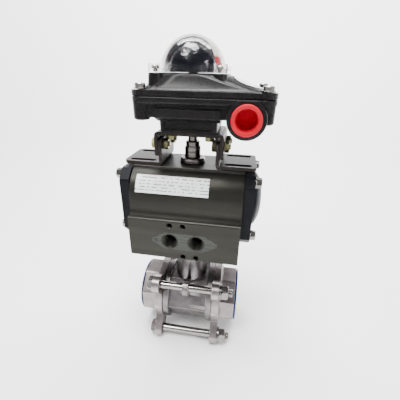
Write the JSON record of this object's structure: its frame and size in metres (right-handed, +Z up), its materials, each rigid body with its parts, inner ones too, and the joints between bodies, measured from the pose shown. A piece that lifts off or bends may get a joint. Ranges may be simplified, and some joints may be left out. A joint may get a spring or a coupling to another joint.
{
  "type": "pneumatic actuated valve",
  "caption": "Three-piece ball valve with bolted ends, rack-and-pinion pneumatic actuator, raised bracket and limit switch box with a domed indicator.",
  "frame": {"origin": "on the stem's axis, at the height of the surface that the lower bolt ears stand on", "axes": "+X along the pipe towards the side with the nuts, +Z up the stem, -Y towards the face with the two air ports"},
  "size_m": [0.1347, 0.0956, 0.304],
  "materials": {
    "stainless_casting": "bead-blasted stainless casting, satin",
    "polished_stainless": "polished stainless steel",
    "ptfe": "moulded fluoropolymer",
    "brass": "yellow-green passivated, satin",
    "blue_plastic": "moulded polyethylene, satin",
    "hard_anodised": "hard anodised extrusion, satin olive grey",
    "cast_aluminium": "die cast",
    "black_coating": "black powder coating on die-cast aluminium, semi-gloss",
    "dark_steel": "dark coated sheet steel, satin",
    "clear_plastic": "clear polycarbonate",
    "gloss_black": "gloss black",
    "red_plastic": "bright red moulded plastic",
    "yellow_plastic": "yellow moulded plastic",
    "switch_plastic": "black moulded plastic",
    "spring_steel": "bright spring steel",
    "terminal_plastic": "cream moulded plastic"
  },
  "bodies": {
    "root": {"valve_body": "stainless_casting", "valve_end_left": "stainless_casting", "valve_end_right": "stainless_casting", "body_bolt_1": "polished_stainless", "body_nut_1": "polished_stainless", "body_bolt_2": "polished_stainless", "body_nut_2": "polished_stainless", "body_bolt_3": "polished_stainless", "body_nut_3": "polished_stainless", "body_bolt_4": "polished_stainless", "body_nut_4": "polished_stainless", "seat_left": "ptfe", "seat_right": "ptfe", "gland": "brass", "actuator_body": "hard_anodised", "end_cover_left": "black_coating", "end_cover_right": "black_coating", "thrust_ring": "polished_stainless", "cover_screw_left_1": "polished_stainless", "cover_screw_left_2": "polished_stainless", "cover_screw_left_3": "polished_stainless", "cover_screw_left_4": "polished_stainless", "cover_screw_right_1": "polished_stainless", "cover_screw_right_2": "polished_stainless", "cover_screw_right_3": "polished_stainless", "cover_screw_right_4": "polished_stainless", "bracket_top": "dark_steel", "bracket_foot_left": "dark_steel", "bracket_foot_right": "dark_steel", "bracket_bolt_1": "brass", "bracket_bolt_2": "brass", "bracket_bolt_3": "brass", "bracket_bolt_4": "brass", "switch_base": "black_coating", "switch_cover": "black_coating", "lid_screw_1": "polished_stainless", "lid_screw_2": "polished_stainless", "lid_screw_3": "polished_stainless", "lid_screw_4": "polished_stainless", "dome": "clear_plastic", "indicator_mask": "gloss_black", "limit_switch_1": "switch_plastic", "limit_switch_2": "switch_plastic", "terminal_strip": "terminal_plastic"},
    "drive": {"ball": "polished_stainless", "stem": "polished_stainless", "pinion": "polished_stainless", "switch_shaft": "polished_stainless", "cam_lower": "yellow_plastic", "cam_upper": "yellow_plastic", "indicator_rotor": "red_plastic"},
    "piston_left": {"piston_left": "cast_aluminium"},
    "piston_right": {"piston_right": "cast_aluminium"},
    "cap_left": {"port_cap_left": "blue_plastic"},
    "cap_right": {"port_cap_right": "blue_plastic"},
    "plug_front": {"entry_plug_front": "red_plastic"},
    "plug_rear": {"entry_plug_rear": "red_plastic"},
    "lever_1": {"switch_lever_1": "spring_steel"},
    "lever_2": {"switch_lever_2": "spring_steel"}
  },
  "joints": [
    {"name": "drive_turn", "type": "hinge", "parent": "root", "child": "drive", "pos_m": [0, 0, 0.12], "axis": [0, 0, 1], "range_deg": [0, 90]},
    {"name": "piston_left_slide", "type": "slide", "parent": "root", "child": "piston_left", "axis": [-1, 0, 0], "range_m": [0, 0.0189]},
    {"name": "piston_right_slide", "type": "slide", "parent": "root", "child": "piston_right", "axis": [1, 0, 0], "range_m": [0, 0.0189]},
    {"name": "cap_left_pull", "type": "slide", "parent": "root", "child": "cap_left", "axis": [-1, 0, 0], "range_m": [0, 0.02]},
    {"name": "cap_right_pull", "type": "slide", "parent": "root", "child": "cap_right", "axis": [1, 0, 0], "range_m": [0, 0.02]},
    {"name": "plug_front_pull", "type": "slide", "parent": "root", "child": "plug_front", "axis": [0, -1, 0], "range_m": [0, 0.02]},
    {"name": "plug_rear_pull", "type": "slide", "parent": "root", "child": "plug_rear", "axis": [0, 1, 0], "range_m": [0, 0.02]},
    {"name": "lever_1_press", "type": "hinge", "parent": "root", "child": "lever_1", "pos_m": [0.0109, 0.012, 0.2507], "axis": [0, 0, 1], "range_deg": [0, 3.5], "stiffness_Nm_per_rad": 0.02},
    {"name": "lever_2_press", "type": "hinge", "parent": "root", "child": "lever_2", "pos_m": [0.0109, 0.012, 0.2594], "axis": [0, 0, 1], "range_deg": [0, 3.5], "stiffness_Nm_per_rad": 0.02}
  ],
  "couplings": [
    {"joint": "piston_left_slide", "follows": "drive_turn", "m_per_rad": 0.012},
    {"joint": "piston_right_slide", "follows": "drive_turn", "m_per_rad": 0.012}
  ]
}
